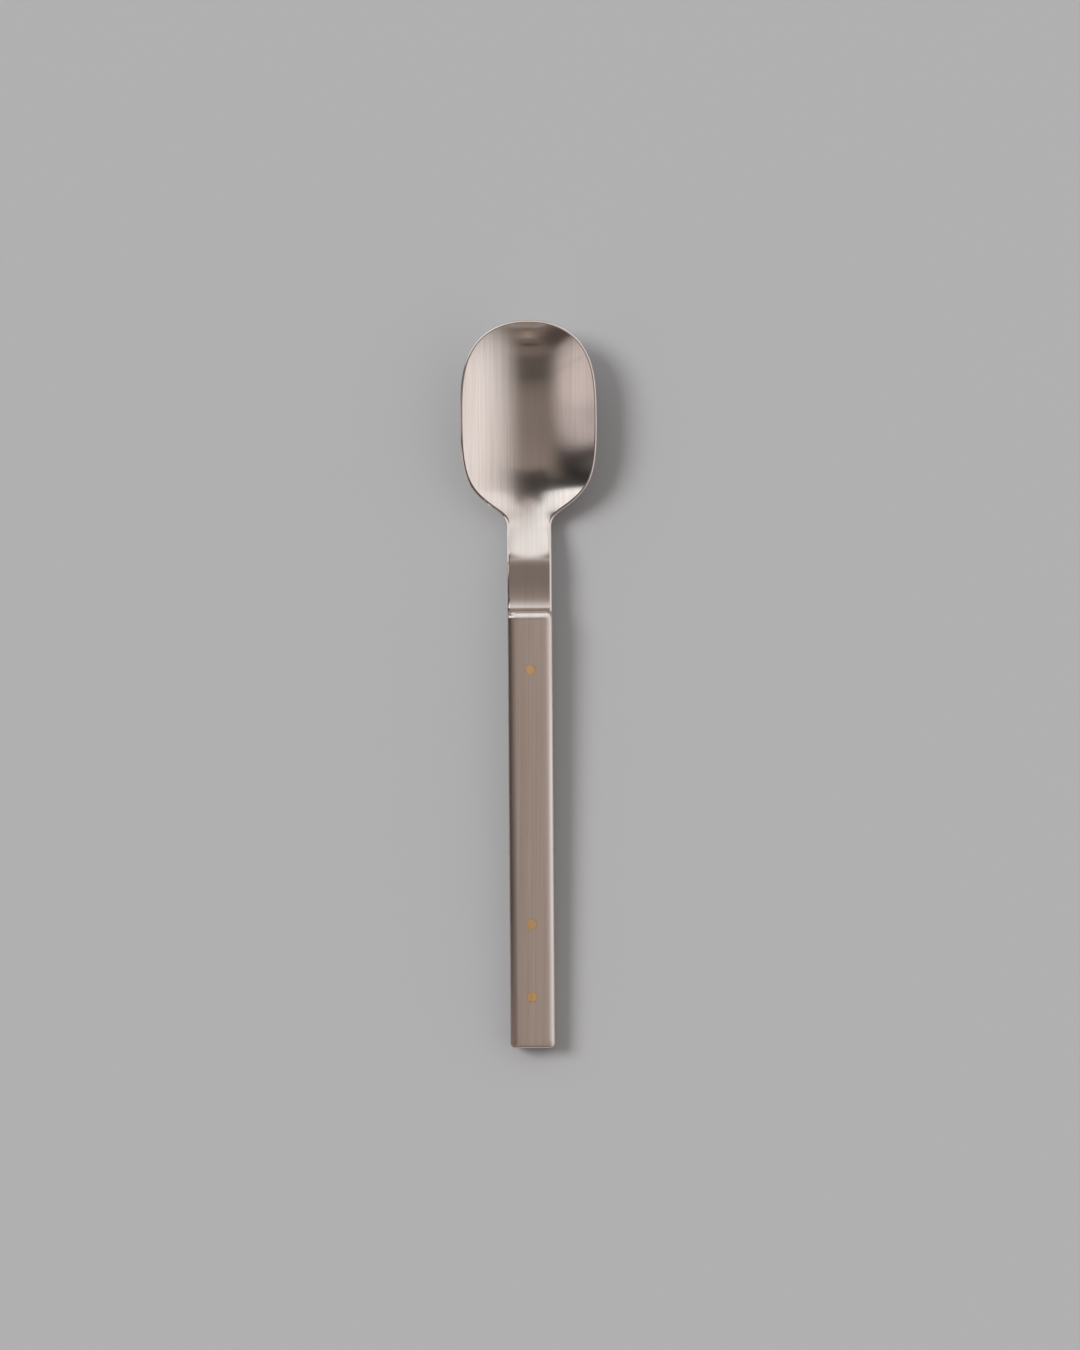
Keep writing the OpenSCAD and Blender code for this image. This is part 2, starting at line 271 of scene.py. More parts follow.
def smooth(x):
    """A share that leaves 0 and reaches 1 gently."""
    share = min(1.0, max(0.0, x))
    return share * share * (3 - 2 * share)


def bezier(points, t):
    """Place and way of a cubic curve at t."""
    a, b, c, d = points
    place = a * (1 - t) ** 3 + b * (3 * t * (1 - t) ** 2) + c * (3 * t * t * (1 - t)) + d * t ** 3
    way = (b - a) * (1 - t) ** 2 + (c - b) * (2 * t * (1 - t)) + (d - c) * (t * t)
    return place, way.normalized()


class BlankShape:
    """Bowl, neck and tang as loops round the metal. A place is (distance from the tip, half width)."""

    def __init__(self, size):
        self.size = size
        self.bowl_half = size.bowl_w / 2
        self.half = size.handle_w / 2
        self.tang_top = size.tang_t / 2
        self.tang_edge = size.tang_t * TANG_EDGE_SHARE
        self.floor_z = self.tang_top - size.bowl_drop
        self.rim_z = self.floor_z + size.bowl_depth
        self.flank_s = size.throat_s - size.throat_l
        self.shoulder_s = size.throat_s + size.neck_l
        self.land_s = self.shoulder_s - size.shoulder_land
        self.foot_s = self.land_s - size.foot_l
        self.crest_s = self.foot_s - size.neck_level
        self.neck_top_half = self.half - size.neck_round - self.tang_edge
        self.rim_in = size.rim_land + size.rim_round
        self.rim_side_h = size.rim_round * (2 + RIM_SIDE_SHARE)
        self.rim_under_z = size.rim_round * (1 + RIM_SIDE_SHARE + math.sin(RIM_UNDER_ANGLE))
        self.rim_under_q = size.rim_round * (1 - math.cos(RIM_UNDER_ANGLE))

    def stations(self):
        """Places along the outline with the way it runs there, from the tip to the shoulder."""
        size = self.size
        found = []
        for i in range(1, TIP_STEPS + 1):
            sine = math.sin(math.pi / 2 * i / TIP_STEPS)
            cosine = max(0.0, math.cos(math.pi / 2 * i / TIP_STEPS))
            place = Vector((
                size.widest_s * (1 - cosine ** (2 / TIP_POWER_ALONG)),
                self.bowl_half * sine ** (2 / TIP_POWER_ACROSS),
            ))
            way = Vector((
                size.widest_s / TIP_POWER_ALONG * sine ** (2 - 2 / TIP_POWER_ACROSS),
                self.bowl_half / TIP_POWER_ACROSS * cosine ** (2 - 2 / TIP_POWER_ALONG),
            ))
            found.append((place, way.normalized()))
        flank_way = Vector((math.cos(size.flank_angle), -math.sin(size.flank_angle)))
        flank_l = self.flank_s - size.widest_s
        widest = Vector((size.widest_s, self.bowl_half))
        flank = Vector((self.flank_s, self.half + size.throat_flare))
        throat = Vector((size.throat_s, self.half))
        side = widest + Vector((flank_l * SIDE_HANDLE, 0))
        inward = flank - flank_way * flank_l * FLANK_HANDLE
        hollow = flank + flank_way * size.throat_l * THROAT_IN
        straight = throat - Vector((size.throat_l * THROAT_OUT, 0))
        for curve, steps in (
            ((widest, side, inward, flank), FLANK_STEPS),
            ((flank, hollow, straight, throat), THROAT_STEPS),
        ):
            found += [bezier(curve, i / steps) for i in range(1, steps + 1)]
        ends = [mix(size.throat_s, self.land_s, i / NECK_STEPS) for i in range(1, NECK_STEPS + 1)]
        found += [(Vector((s, self.half)), Vector((1, 0))) for s in ends + [self.shoulder_s]]
        return found

    def foot(self, s):
        """Share of its height that the foot has reached."""
        return min(1.0, max(0.0, (s - self.foot_s) / self.size.foot_l)) ** FOOT_POWER

    def floor_share(self, s, inset):
        """Share of the depth that the floor has reached between the tip and the widest place."""
        widest_s = self.size.widest_s
        return 1 - (max(0.0, widest_s - s) / (widest_s - inset)) ** FLOOR_POWER

    def rise(self, s):
        """Share of the way from the widest place to the level neck."""
        return max(0.0, (s - self.size.widest_s) / (self.crest_s - self.size.widest_s))

    def middle_z(self, s):
        """Upper surface along the middle, from the widest place to the shoulder."""
        size = self.size
        rising = self.floor_z + size.bowl_drop * self.rise(s) ** RISE_POWER
        return soft_min(rising, self.tang_top, BEND_H) + size.foot_h * self.foot(s)

    def metal_t(self, s):
        """Thickness of the metal along the middle."""
        size = self.size
        return mix(size.bowl_wall, size.tang_t, smooth(self.rise(s))) + 2 * size.foot_h * self.foot(s)

    def rim_h(self, s):
        """Height of the bowl's rim above that surface."""
        size = self.size
        fallen = ((s - size.widest_s) / (size.throat_s - size.widest_s)) ** 2
        return self.rim_z - size.rim_fall * fallen - self.middle_z(s)

    def hollow_h(self, s, w):
        """Height of the edge above that surface on the hollow through the throat."""
        throat_s = self.size.throat_s
        gone = min(1.0, max(0.0, (s - throat_s) / (self.crest_s - throat_s))) ** HOLLOW_KEEP_POWER
        return self.size.throat_hollow * (1 - gone) * (w / self.neck_top_half) ** HOLLOW_POWER

    def edge(self, station, z_edge, side_h, radius, end_angle):
        """The rounded edge on the right, from the top to the underside."""
        (s, w), way = station
        turns = [(math.pi / 2 * (1 - i / EDGE_STEPS), False) for i in range(EDGE_STEPS + 1)]
        turns += [(end_angle * i / EDGE_STEPS, True) for i in range(EDGE_STEPS)]
        found = []
        for turn, lower in turns:
            q = radius * (1 - math.cos(turn))
            lean = radius * (1 - math.sin(turn))
            z = z_edge - side_h + lean if lower else z_edge - lean
            found.append((w - q * way[0], s + q * way[1], z))
        return found

    def loop(self, top, under, z_mid, z_edge, z_under_mid, z_under_edge, right):
        """Across the top, down the right edge, back underneath and up the left edge."""
        shares = [2 * i / ACROSS_STEPS - 1 for i in range(ACROSS_STEPS + 1)]
        upper = [(u * top[1], top[0], mix(z_mid, z_edge, abs(u) ** HOLLOW_POWER)) for u in shares]
        lower = [
            (-u * under[1], under[0], mix(z_under_mid, z_under_edge, abs(u) ** HOLLOW_POWER)) for u in shares
        ]
        return upper + right + lower + [(-x, s, z) for x, s, z in reversed(right)]

    def blank_loop(self, station):
        """The loop round the bowl or the neck at a place of the outline."""
        size = self.size
        (s, w), way = station
        tip = s <= size.widest_s
        neck = smooth((s - self.flank_s + size.throat_l) / (2 * size.throat_l))
        radius = mix(size.rim_round, size.neck_round, neck)
        end_angle = mix(RIM_UNDER_ANGLE, math.pi / 2, neck)
        top_q = mix(self.rim_in, size.neck_round + self.tang_edge, neck)
        under_q = radius * (1 - math.cos(end_angle))
        top = (s + top_q * way[1], w - top_q * way[0])
        under = (s + under_q * way[1], w - under_q * way[0])
        side_h = mix(self.rim_side_h, self.metal_t(s), neck)
        if tip:
            z_mid = self.rim_z - size.bowl_depth * self.floor_share(top[0], self.rim_in)
            z_edge = self.rim_z
        else:
            z_mid = self.middle_z(top[0])
            z_edge = z_mid + mix(self.rim_h(top[0]), self.hollow_h(*top), neck)
        z_under_edge = z_edge - side_h + radius * (1 - math.sin(end_angle))
        if tip:
            outer_depth = size.bowl_depth - self.rim_under_z + size.bowl_wall
            z_under_mid = z_under_edge - outer_depth * self.floor_share(under[0], self.rim_under_q)
        else:
            z_under_mid = self.middle_z(under[0]) - self.metal_t(under[0])
        right = self.edge(station, z_edge, side_h, radius, end_angle)
        return self.loop(top, under, z_mid, z_edge, z_under_mid, z_under_edge, right)

    def tang_loop(self, s, half):
        """The loop round the flat tang."""
        station = (Vector((s, half)), Vector((1, 0)))
        right = self.edge(station, self.tang_top, self.size.tang_t, self.tang_edge, math.pi / 2)
        top = (s, half - 2 * self.tang_edge)
        under = (s, half - self.tang_edge)
        return self.loop(top, under, self.tang_top, self.tang_top, -self.tang_top, -self.tang_top, right)

    def tang_loops(self):
        """From the shoulder to the tail, round its corners."""
        size = self.size
        half = self.half - size.tang_inset
        corner = size.tail_corner_r
        found = [self.tang_loop(self.shoulder_s, half)]
        for i in range(CORNER_STEPS + 1):
            turn = math.pi / 2 * i / CORNER_STEPS
            found.append(self.tang_loop(
                size.spoon_l - corner * (1 - math.sin(turn)), half - corner * (1 - math.cos(turn))
            ))
        return found

    def tip_points(self):
        """The column of points on which the loops close at the tip."""
        station = (Vector((0, 0)), Vector((0, 1)))
        right = self.edge(station, self.rim_z, self.rim_side_h, self.size.rim_round, RIM_UNDER_ANGLE)
        top = (0.0, self.rim_in, self.rim_z)
        under = (0.0, self.rim_under_q, self.rim_z - self.rim_under_z)
        return [top, *right, under]


def pin_places(size):
    """Places of the pins along the handle, by the frame's node."""
    tail = -size.spoon_l / 2
    front = size.spoon_l / 2 - size.throat_s - size.neck_l - size.seat_gap
    return {
        "pin_neck": front - size.neck_pin_inset,
        "pin_middle": tail + size.tail_pin_inset + size.pin_pair_gap,
        "pin_tail": tail + size.tail_pin_inset,
    }


def resting_place(size):
    """How the spoon lies on the table, read from the middles of the frame's end pins."""
    neck, tail = [sum(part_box(node), Vector()) / 2 for node in ("pin_neck", "pin_tail")]
    along = (neck - tail).normalized()
    turn = Matrix((ACROSS, along, ACROSS.cross(along))).transposed().to_4x4()
    return Matrix.Translation(neck - along * pin_places(size)["pin_neck"]) @ turn


def ring(shape, y, radius, z):
    """A closed ring of corners round a pin's place."""
    turns = [2 * math.pi * i / PIN_SEGMENTS for i in range(PIN_SEGMENTS)]
    return [shape.verts.new((radius * math.cos(a), y + radius * math.sin(a), z)) for a in turns]


def close_between(shape, first, second):
    """Faces between two closed rings of as many corners."""
    count = len(first)
    for i in range(count):
        j = (i + 1) % count
        shape.faces.new((first[i], first[j], second[j], second[i]))


def fill_flat(shape, outline, holes):
    """A flat face inside an outline and round its holes."""
    edges = []
    for corners in (outline, *holes):
        for i, corner in enumerate(corners):
            pair = (corner, corners[(i + 1) % len(corners)])
            edges.append(shape.edges.get(pair) or shape.edges.new(pair))
    bmesh.ops.triangle_fill(shape, use_beauty=True, use_dissolve=False, edges=edges)


def lay_brush_map(mesh):
    """Map each face flat, with U square to the brush lines, which run lengthwise."""
    brush = mesh.uv_layers.new(name=BRUSH_MAP)
    for face in mesh.polygons:
        across = LENGTHWISE.cross(face.normal)
        across = across.normalized() if across.length > LEAST_ACROSS else ACROSS
        along = face.normal.cross(across)
        for corner in face.loop_indices:
            place = mesh.vertices[mesh.loops[corner].vertex_index].co / MM
            brush.data[corner].uv = (place.dot(across), place.dot(along))


def add_piece(name, shape, place, material, node):
    """Make the finished piece that stands for a node of the frame."""
    bmesh.ops.remove_doubles(shape, verts=shape.verts, dist=WELD)
    bmesh.ops.recalc_face_normals(shape, faces=shape.faces)
    bmesh.ops.transform(shape, matrix=place, verts=shape.verts)
    mesh = bpy.data.meshes.new(name)
    shape.to_mesh(mesh)
    shape.free()
    mesh.polygons.foreach_set("use_smooth", [True] * len(mesh.polygons))
    mesh.set_sharp_from_angle(angle=SHARP_ANGLE)
    lay_brush_map(mesh)
    mesh.materials.append(material)
    piece = bpy.data.objects.new(name, mesh)
    bpy.context.scene.collection.objects.link(piece)
    weighted = piece.modifiers.new("even_shading", "WEIGHTED_NORMAL")
    weighted.keep_sharp = True
    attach(piece, "root")
    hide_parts(node)


def brushed_metal(name, pale, deep, hair_w, hair_l, hair_depth, lean, roughness, anisotropy):
    """A metal with brush lines along the spoon, which blur what it mirrors across them.

    hair_w and hair_l are the width and length of a brush line, and hair_depth is its depth. lean turns
    the lines about the spoon's length, so that they show on upright faces too."""
    material = bpy.data.materials.new(name)
    material.use_nodes = True
    tree = material.node_tree
    tree.nodes.clear()
    place = add_node(tree, "ShaderNodeTexCoord")
    lines_at = add_node(
        tree,
        "ShaderNodeMapping",
        {"vector_type": "TEXTURE", "Rotation": (0.0, lean, 0.0), "Scale": (hair_w, hair_l, 1.0)},
        {"Vector": place.outputs["Object"]},
    )
    lines = add_node(
        tree,
        "ShaderNodeTexNoise",
        {"Scale": 1.0, "Detail": 3.0, "Roughness": 0.6},
        {"Vector": lines_at.outputs["Vector"]},
    )
    patch_at = add_node(
        tree,
        "ShaderNodeMapping",
        {"vector_type": "TEXTURE", "Rotation": (0.0, lean, 0.0), "Scale": (PATCH_W, PATCH_L, 1.0)},
        {"Vector": place.outputs["Object"]},
    )
    patches = add_node(
        tree, "ShaderNodeTexNoise", {"Scale": 1.0, "Detail": 2.0}, {"Vector": patch_at.outputs["Vector"]}
    )
    both = add_node(
        tree,
        "ShaderNodeMix",
        {"data_type": "FLOAT", "Factor": PATCH_SHARE},
        {2: lines.outputs["Fac"], 3: patches.outputs["Fac"]},
    )
    shade = add_node(
        tree,
        "ShaderNodeMapRange",
        {"From Min": COLOUR_RANGE[0], "From Max": COLOUR_RANGE[1]},
        {"Value": both.outputs[0]},
    )
    tint = add_node(
        tree,
        "ShaderNodeMix",
        {"data_type": "RGBA", 6: (*deep, 1.0), 7: (*pale, 1.0)},
        {0: shade.outputs["Result"]},
    )
    dull = add_node(
        tree,
        "ShaderNodeMapRange",
        {
            "From Min": ROUGHNESS_RANGE[0],
            "From Max": ROUGHNESS_RANGE[1],
            "To Min": roughness * (1 + ROUGHNESS_DRIFT),
            "To Max": roughness * (1 - ROUGHNESS_DRIFT),
        },
        {"Value": both.outputs[0]},
    )
    grooves = add_node(
        tree, "ShaderNodeBump", {"Strength": 1.0, "Distance": hair_depth}, {"Height": lines.outputs["Fac"]}
    )
    across = add_node(tree, "ShaderNodeTangent", {"direction_type": "UV_MAP", "uv_map": BRUSH_MAP})
    metal = add_node(
        tree,
        "ShaderNodeBsdfPrincipled",
        {"Metallic": 1.0, "Anisotropic": anisotropy},
        {
            "Base Color": tint.outputs[2],
            "Roughness": dull.outputs["Result"],
            "Normal": grooves.outputs["Normal"],
            "Tangent": across.outputs["Tangent"],
        },
    )
    add_node(tree, "ShaderNodeOutputMaterial", links={"Surface": metal.outputs["BSDF"]})
    return material


class SPOON_OT_blank(bpy.types.Operator):
    """Build the bowl, neck and tang, which are one pressed piece of steel"""

    bl_idname = "spoon.blank"
    bl_label = "Bowl and tang"

    def execute(self, context):
        size = context.scene.spoon_sizes
        finish = context.scene.spoon_finish
        form = BlankShape(size)
        shape = bmesh.new()

        def corners(points):
            return [shape.verts.new((x, size.spoon_l / 2 - s, z)) for x, s, z in points]

        tip = corners(form.tip_points())
        bowl = [corners(form.blank_loop(station)) for station in form.stations()]
        tang = [corners(points) for points in form.tang_loops()]
        loops = bowl + tang
        count = len(bowl[0])
        under = ACROSS_STEPS + 1 + len(tip) - 2
        upper_row = range(ACROSS_STEPS + 1)
        under_row = range(under, under + ACROSS_STEPS + 1)

        # The first loop closes on the column of points at the tip
        def tip_corner(j):
            if j in upper_row:
                return tip[0]
            if j in under_row:
                return tip[-1]
            return tip[j - ACROSS_STEPS] if j < under else tip[count - j]

        for j in range(count):
            k = (j + 1) % count
            face = [tip_corner(j), tip_corner(k), bowl[0][k], bowl[0][j]]
            shape.faces.new(face if face[0] is not face[1] else face[1:])
        # The flat faces of the tang are left open here, because the pins pass through them
        for i in range(len(loops) - 1):
            flat = i >= len(bowl)
            for j in range(count):
                k = (j + 1) % count
                if flat and ((j in upper_row and k in upper_row) or (j in under_row and k in under_row)):
                    continue
                shape.faces.new((loops[i][j], loops[i][k], loops[i + 1][k], loops[i + 1][j]))
        shape.faces.new(loops[-1])
        bore = size.pin_shank_d / 2 + size.pin_clearance
        faces = []
        for z, row in ((form.tang_top, upper_row), (-form.tang_top, under_row)):
            holes = [ring(shape, y, bore, z) for y in pin_places(size).values()]
            right = [points[row[-1]] for points in tang]
            left = [points[row[0]] for points in reversed(tang)]
            across_front = [tang[0][j] for j in row][1:-1]
            across_tail = [tang[-1][j] for j in reversed(row)][1:-1]
            fill_flat(shape, across_front + right + across_tail + left, holes)
            faces.append(holes)
        for upper, lower in zip(*faces):
            close_between(shape, upper, lower)

        # Stainless steel, pressed and then brushed lengthwise: a satin shine that mirrors the room sharply
        # along the spoon and smears it across. Real brush lines are about 0.1 mm wide, too fine to show,
        # so they are drawn 0.32 mm wide.
        steel = brushed_metal(
            "stainless_steel_brushed_bowl",
            finish.blank_pale,
            finish.blank_deep,
            hair_w=0.32 * MM,
            hair_l=26 * MM,
            hair_depth=0.0016 * MM,
            lean=0.0,
            roughness=0.19,
            anisotropy=0.8,
        )
        add_piece("bowl_and_tang", shape, resting_place(size), steel, "spoon_blank")
        return {"FINISHED"}


class SPOON_OT_scales(bpy.types.Operator):
    """Build the two steel scales that are pinned over the tang"""

    bl_idname = "spoon.scales"
    bl_label = "Handle scales"

    def outline(self, shape, size, inset, z):
        """A loop of corners round a scale, the given distance inside its edge."""
        share = inset / size.edge_round_w
        half = size.handle_w / 2 - inset
        tail = -size.spoon_l / 2 + inset
        front = size.spoon_l / 2 - size.throat_s - size.neck_l - size.seat_gap - inset
        front_r = mix(size.front_corner_r, INNER_CORNER, share)
        tail_r = mix(size.tail_corner_r, INNER_CORNER, share)
        found = []
        for side_x, end_y, r, start in (
            (1, tail, tail_r, -90),
            (1, front, front_r, 0),
            (-1, front, front_r, 90),
            (-1, tail, tail_r, 180),
        ):
            inward = 1 if end_y == tail else -1
            for i in range(CORNER_STEPS + 1):
                turn = math.radians(start + 90 * i / CORNER_STEPS)
                x = side_x * (half - r) + r * math.cos(turn)
                y = end_y + inward * r + r * math.sin(turn)
                found.append(shape.verts.new((x, y, z)))
        return found

    def scale_shape(self, size):
        """A scale that lies on the plane z = 0."""
        shape = bmesh.new()
        loops = [self.outline(shape, size, 0.0, 0.0)]
        for i in range(EDGE_STEPS * 2 + 1):
            turn = math.pi / 2 * i / (EDGE_STEPS * 2)
            inset = size.edge_round_w * (1 - math.cos(turn))
            z = size.scale_t - size.edge_round_h * (1 - math.sin(turn))
            loops.append(self.outline(shape, size, inset, z))
        for first, second in zip(loops, loops[1:]):
            close_between(shape, first, second)
        bore = size.pin_shank_d / 2 + size.pin_clearance
        flare = size.pin_head_d / 2 + size.pin_clearance
        mouths = []
        seats = []
        for y in pin_places(size).values():
            rings = [
                ring(shape, y, flare, size.scale_t),
                ring(shape, y, bore, size.scale_t - size.pin_head_h),
                ring(shape, y, bore, 0.0),
            ]
            close_between(shape, rings[0], rings[1])
            close_between(shape, rings[1], rings[2])
            mouths.append(rings[0])
            seats.append(rings[2])
        fill_flat(shape, loops[-1], mouths)
        fill_flat(shape, loops[0], seats)
        return shape

    def execute(self, context):
        size = context.scene.spoon_sizes
        finish = context.scene.spoon_finish
        # Stainless steel, ground flat with the pins and brushed lengthwise: a little duller than the bowl.
        # The lines are drawn coarser than real ones, as on the bowl.
        steel = brushed_metal(
            "stainless_steel_brushed_scale",
            finish.scale_pale,
            finish.scale_deep,
            hair_w=0.3 * MM,
            hair_l=50 * MM,
            hair_depth=0.0006 * MM,
            lean=EDGE_LEAN,
            roughness=0.25,
            anisotropy=0.9,
        )
        place = resting_place(size)
        seat = Matrix.Translation((0, 0, size.tang_t / 2))
        flip = Matrix.Diagonal((1, 1, -1, 1))
        for name, node, turn in (
            ("front_scale", "scale_front", seat),
            ("back_scale", "scale_back", flip @ seat),
        ):
            add_piece(name, self.scale_shape(size), place @ turn, steel, node)
        return {"FINISHED"}


class SPOON_OT_pins(bpy.types.Operator):
    """Build the three brass pins that hold the scales"""

    bl_idname = "spoon.pins"
    bl_label = "Brass pins"

    def pin_shape(self, size, y):
        """A shank with a flared head at each end, ground flat, with a broken edge round each face."""
        shape = bmesh.new()
        top = size.tang_t / 2 + size.scale_t
        face = top - size.pin_shy
        shank = size.pin_shank_d / 2
        head = mix(shank, size.pin_head_d / 2, 1 - size.pin_shy / size.pin_head_h)
        upper = [
            (shank, top - size.pin_head_h),
            (head, face - PIN_BREAK),
            (head - PIN_BREAK, face),
            (head * PIN_FACE_SHARE, face),
        ]
        profile = [(r, -z) for r, z in reversed(upper)] + upper
        rings = [ring(shape, y, r, z) for r, z in profile]
        for first, second in zip(rings, rings[1:]):
            close_between(shape, first, second)
        for end in (rings[0], rings[-1]):
            shape.faces.new(end)
        return shape

    def execute(self, context):
        size = context.scene.spoon_sizes
        finish = context.scene.spoon_finish
        # Brass, ground flush with the scale and brushed with it: a warm yellow face with the same lines
        brass = brushed_metal(
            "brass_ground_flush",
            finish.brass_pale,
            finish.brass_deep,
            hair_w=0.25 * MM,
            hair_l=6 * MM,
            hair_depth=0.001 * MM,
            lean=EDGE_LEAN,
            roughness=0.55,
            anisotropy=0.4,
        )
        place = resting_place(size)
        for node, y in pin_places(size).items():
            add_piece(f"brass_{node}", self.pin_shape(size, y), place, brass, node)
        return {"FINISHED"}


class SPOON_OT_stage(bpy.types.Operator):
    """Lay a plain pale floor, light it softly and set the camera straight above"""

    bl_idname = "spoon.stage"
    bl_label = "Stage"

    FLOOR_HALF = 4.0
    # Where the camera looks, to the right of the spoon's middle and towards its tip, and its turn
    AIM = (1.97 * MM, 1.98 * MM, 5 * MM)
    CAMERA_TURN = -0.0068
    SENSOR = 36.0
    # Height of the window above the table and its turn from the left towards the tip, and how wide it looks
    WINDOW_HEIGHT = math.radians(41)
    WINDOW_TURN = math.radians(23)
    WINDOW_SPREAD = math.radians(27)
    # Cards that only the metal mirrors, by their corners in millimetres: a dark one on the left of the
    # handle, a lit one above it, a pale one on the left of the neck, black gauze on the left of the bowl and
    # a black strip above the bowl
    DARK_CARD = ((-34, -110, 0), (-34, 22, 0), (-34, 22, 44), (-34, -110, 44))
    LIT_CARD = ((-7, -120, 24), (9.2, -120, 24), (9.2, 14.6, 24), (-7, 14.6, 24))
    PALE_CARD = ((-12.5, 25.6, 1), (-9, 35, 1), (-9, 35, 10), (-12.5, 25.6, 10))
    BLACK_CARD = ((-46.5, 41.4, 0), (-22, 52.4, 0), (-12.7, 56.6, 44), (-37.1, 45.6, 44))
    BLACK_STRIP = ((-4, 43.3, 18), (3.4, 43.3, 18), (3.4, 46.2, 18), (-4, 46.2, 18))
    # Tones along the dark card, and how dense the gauze is along it, from the tail towards the tip
    DARK_TONES = ((0.24, "#A2948E"), (0.47, "#635855"))
    GAUZE_COVER = ((0.38, 1.0), (0.43, 0.5), (0.5, 0.28), (0.72, 0.15), (1.0, 0.0))
    BLACK = "#060606"
    # Tones of the room by the share of the way from behind the tail to beyond the tip
    CEILING = (
        (0.0, "#655C57"),
        (0.16, "#6A615B"),
        (0.22, "#544D48"),
        (0.4, "#504944"),
        (0.45, "#675E59"),
        (0.485, "#716762"),
        (0.52, "#7A706A"),
        (0.57, "#827771"),
        (0.595, "#887D77"),
        (0.625, "#968B85"),
        (0.65, "#A49A95"),
        (0.69, "#B9B2AF"),
        (0.725, "#D0CECE"),
        (0.775, "#E2E0E0"),
        (0.94, "#E9E7E7"),
        (0.97, "#90847E"),
    )
    LEFT_WALL = (
        (0.0, "#CEC2C1"),
        (0.515, "#CEC2C1"),
        (0.545, "#2B2A28"),
        (0.645, "#3E3C3B"),
        (0.668, "#F3F2F2"),
    )
    RIGHT_WALL = "#E9E3E2"
    # How far to a side each wall begins under the ceiling, and where it is whole
    LEFT_REACH = (-0.5, -0.9)
    RIGHT_REACH = (0.22, 0.95)
    # Where the left wall begins to reach further in, towards the tip, and by how much
    NEAR_TIP = ((0.59, 0.0), (0.605, 1.0))
    TIP_REACH = 0.46

    def floor(self, stage):
        shape = bmesh.new()
        bmesh.ops.create_grid(shape, x_segments=2, y_segments=2, size=self.FLOOR_HALF)
        mesh = bpy.data.meshes.new("floor")
        shape.to_mesh(mesh)
        shape.free()
        # Matt paint on board, rolled: an even pale grey that hardly shines
        material = bpy.data.materials.new("matt_paint_rolled")
        material.use_nodes = True
        tree = material.node_tree
        tree.nodes.clear()
        paint = add_node(
            tree,
            "ShaderNodeBsdfPrincipled",
            {"Base Color": (*stage.floor_colour, 1.0), "Roughness": 0.85, "Specular IOR Level": 0.2},
        )
        add_node(tree, "ShaderNodeOutputMaterial", links={"Surface": paint.outputs["BSDF"]})
        mesh.materials.append(material)
        floor = bpy.data.objects.new("floor", mesh)
        bpy.context.scene.collection.objects.link(floor)

    def card(self, name, material, corners):
        """A flat card that neither the camera nor the floor sees. Its corners are in millimetres."""
        shape = bmesh.new()
        shape.faces.new([shape.verts.new(Vector(corner) * MM) for corner in corners])
        mesh = bpy.data.meshes.new(name)
        shape.to_mesh(mesh)
        shape.free()
        along = mesh.uv_layers.new(name="along")
        for corner, place in zip(along.data, ((0, 0), (1, 0), (1, 1), (0, 1))):
            corner.uv = place
        mesh.materials.append(material)
        card = bpy.data.objects.new(name, mesh)
        card.visible_camera = False
        card.visible_diffuse = False
        card.visible_shadow = False
        bpy.context.scene.collection.objects.link(card)

    def card_finish(self, name, kind, tone, cover=None):
        """A card of one tone, or of stops of tone along it. cover says how dense it is along it."""
        material = bpy.data.materials.new(name)
        material.use_nodes = True
        tree = material.node_tree
        tree.nodes.clear()
        place = add_node(tree, "ShaderNodeTexCoord")
        parts = add_node(tree, "ShaderNodeSeparateXYZ", links={"Vector": place.outputs["UV"]})
        along = {"Fac": parts.outputs["X"]}
        if isinstance(tone, str):
            surface = add_node(tree, kind, {"Color": (*linear(tone), 1.0)})
        else:
            fade = add_node(tree, "ShaderNodeValToRGB", {"stops": tones(tone)}, along)
            surface = add_node(tree, kind, links={"Color": fade.outputs["Color"]})
        if cover:
            dense = add_node(tree, "ShaderNodeValToRGB", {"stops": shares(cover)}, along)
            clear = add_node(tree, "ShaderNodeBsdfTransparent")
            surface = add_node(
                tree,
                "ShaderNodeMixShader",
                links={0: dense.outputs["Color"], 1: clear.outputs[0], 2: surface.outputs[0]},
            )
        add_node(tree, "ShaderNodeOutputMaterial", links={"Surface": surface.outputs[0]})
        return material

    def cards(self):
        # Dark card, matt and paler towards the tail: it gives the left edge of the handle its dark line
        dark = self.card_finish("dark_card_matt", "ShaderNodeBsdfDiffuse", self.DARK_TONES)
        self.card("dark_card", dark, self.DARK_CARD)
        # Warm card, lit from behind: the soft even tone that the flat of the handle mirrors
        warm = self.card_finish("warm_card_lit", "ShaderNodeEmission", "#A8998F")
        self.card("lit_card", warm, self.LIT_CARD)
        # White card, lit from behind: the bright line along the left edge of the neck
        pale = self.card_finish("white_card_lit", "ShaderNodeEmission", "#FFFDFB")
        self.card("pale_card", pale, self.PALE_CARD)
        # Black gauze, woven closer towards the tail: the dark tone that fades in on the right of the bowl
        gauze = self.card_finish("black_gauze_woven", "ShaderNodeBsdfDiffuse", self.BLACK, self.GAUZE_COVER)
        self.card("black_card", gauze, self.BLACK_CARD)
        # Black velvet, cut pile: sends almost no light back, for the dark band across the floor of the bowl
        velvet = self.card_finish("black_velvet_cut", "ShaderNodeBsdfDiffuse", self.BLACK)
        self.card("black_strip", velvet, self.BLACK_STRIP)

